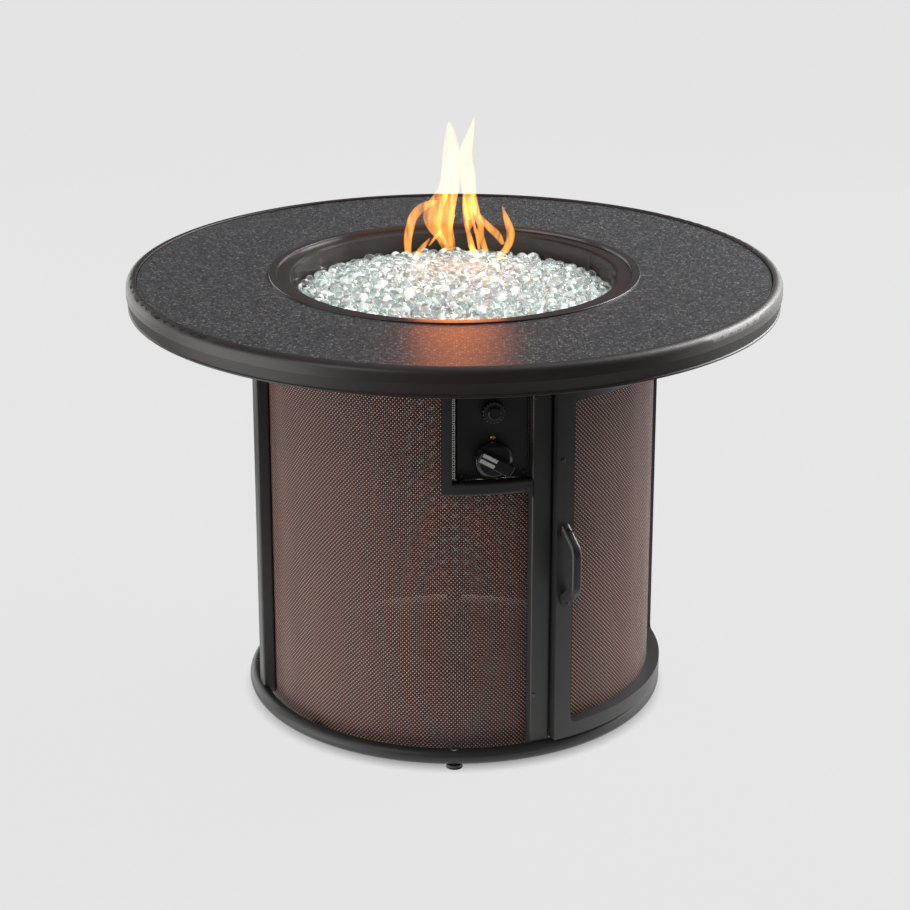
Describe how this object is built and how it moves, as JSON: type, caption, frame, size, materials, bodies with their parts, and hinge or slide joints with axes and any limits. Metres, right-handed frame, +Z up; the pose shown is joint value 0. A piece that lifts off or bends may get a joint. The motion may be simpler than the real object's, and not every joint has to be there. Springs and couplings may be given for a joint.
{
  "type": "fire pit table",
  "caption": "Round gas fire pit table: stone-look top in a steel rim, glass-filled burner bowl, and a drum base of woven mesh with a control panel and a curved door.",
  "frame": {"origin": "middle of the floor under the table, level with the bottom of the feet", "axes": "+Z up, -Y out towards the side of the left part of the control panel, +X to the right as seen from there"},
  "size_m": [0.8059, 0.806, 0.55],
  "materials": {
    "rim_steel": "dark bronze powder coat, satin",
    "stone": "dark grey speckled stone-look tile, honed",
    "hidden_steel": "plain black coat",
    "pan_steel": "dark heat-proof coat, satin",
    "burner_steel": "plain stainless steel",
    "clear_glass": "clear glass beads with an aqua tint",
    "brass_metal": "turned brass",
    "bent_aluminium": "drawn aluminium tube",
    "white_ceramic": "white glazed ceramic",
    "frame_steel": "black-brown powder coat, satin",
    "handle_steel": "black powder coat, satin",
    "woven_mesh": "brown coated woven mesh",
    "black_plastic": "black plastic with a soft gloss",
    "foot_plastic": "black plastic",
    "barrel_plastic": "black plastic",
    "lead_rubber": "silicone sheath",
    "plated_steel": "zinc-plated steel",
    "washer_plastic": "white nylon",
    "dark_screw": "blackened steel"
  },
  "bodies": {
    "base": {"air_mixer": "burner_steel", "base_ring": "frame_steel", "burner_pan": "pan_steel", "burner_ring": "burner_steel", "catch_magnet": "barrel_plastic", "control_plate": "frame_steel", "electrode_bracket": "burner_steel", "feed_elbow": "burner_steel", "foot_bushes": "plated_steel", "front_mesh": "woven_mesh", "front_post": "frame_steel", "gas_inlet": "brass_metal", "glass_bed": "clear_glass", "ground_screw": "brass_metal", "hinge_post": "frame_steel", "hub_locknut": "burner_steel", "igniter_barrel": "barrel_plastic", "igniter_cell": "plated_steel", "igniter_collar": "black_plastic", "left_post": "frame_steel", "left_rear_mesh": "woven_mesh", "lower_pivot_pin": "plated_steel", "orifice": "brass_metal", "outlet_elbow": "brass_metal", "panel_frame": "frame_steel", "pivot_washer": "washer_plastic", "rear_post": "frame_steel", "right_rear_mesh": "woven_mesh", "small_screws": "dark_screw", "spark_electrode": "white_ceramic", "spark_lead": "lead_rubber", "stone_top": "stone", "supply_tube": "bent_aluminium", "support_channel_1": "hidden_steel", "support_channel_2": "hidden_steel", "support_channel_3": "hidden_steel", "support_channel_4": "hidden_steel", "support_plate": "hidden_steel", "top_bolts": "burner_steel", "top_rim": "rim_steel", "top_ring": "hidden_steel", "tray_bars": "hidden_steel", "tray_hoop": "hidden_steel", "upper_pivot_bracket": "frame_steel", "upper_pivot_pin": "plated_steel", "valve_body": "brass_metal", "valve_nut": "brass_metal"},
    "door": {"door_frame": "frame_steel", "door_mesh": "woven_mesh", "door_handle": "handle_steel", "handle_screws": "dark_screw", "catch_strike": "burner_steel", "catch_screw": "dark_screw"},
    "valve_stem": {"valve_stem": "brass_metal"},
    "gas_knob": {"gas_knob": "black_plastic"},
    "igniter_button": {"igniter_button": "black_plastic"},
    "foot_1": {"foot_1": "foot_plastic"},
    "foot_2": {"foot_2": "foot_plastic"},
    "foot_3": {"foot_3": "foot_plastic"},
    "foot_4": {"foot_4": "foot_plastic"}
  },
  "joints": [
    {"name": "door_swing", "type": "hinge", "parent": "base", "child": "door", "pos_m": [0.24884, 0.07185, 0.2595], "axis": [0, 0, 1], "range_deg": [0, 110]},
    {"name": "knob_turn", "type": "hinge", "parent": "base", "child": "valve_stem", "pos_m": [0.04414, -0.23591, 0.388], "axis": [0.1839, -0.9829, 0], "range_deg": [-60, 120]},
    {"name": "knob_push", "type": "slide", "parent": "valve_stem", "child": "gas_knob", "axis": [-0.1839, 0.9829, 0], "range_m": [0, 0.004], "stiffness_N_per_m": 800, "springref_m": -0.001},
    {"name": "igniter_push", "type": "slide", "parent": "base", "child": "igniter_button", "axis": [-0.1839, 0.9829, 0], "range_m": [0, 0.004], "stiffness_N_per_m": 800, "springref_m": -0.001},
    {"name": "foot_1_level", "type": "slide", "parent": "base", "child": "foot_1", "axis": [0, 0, -1], "range_m": [0, 0.008]},
    {"name": "foot_2_level", "type": "slide", "parent": "base", "child": "foot_2", "axis": [0, 0, -1], "range_m": [0, 0.008]},
    {"name": "foot_3_level", "type": "slide", "parent": "base", "child": "foot_3", "axis": [0, 0, -1], "range_m": [0, 0.008]},
    {"name": "foot_4_level", "type": "slide", "parent": "base", "child": "foot_4", "axis": [0, 0, -1], "range_m": [0, 0.008]}
  ]
}
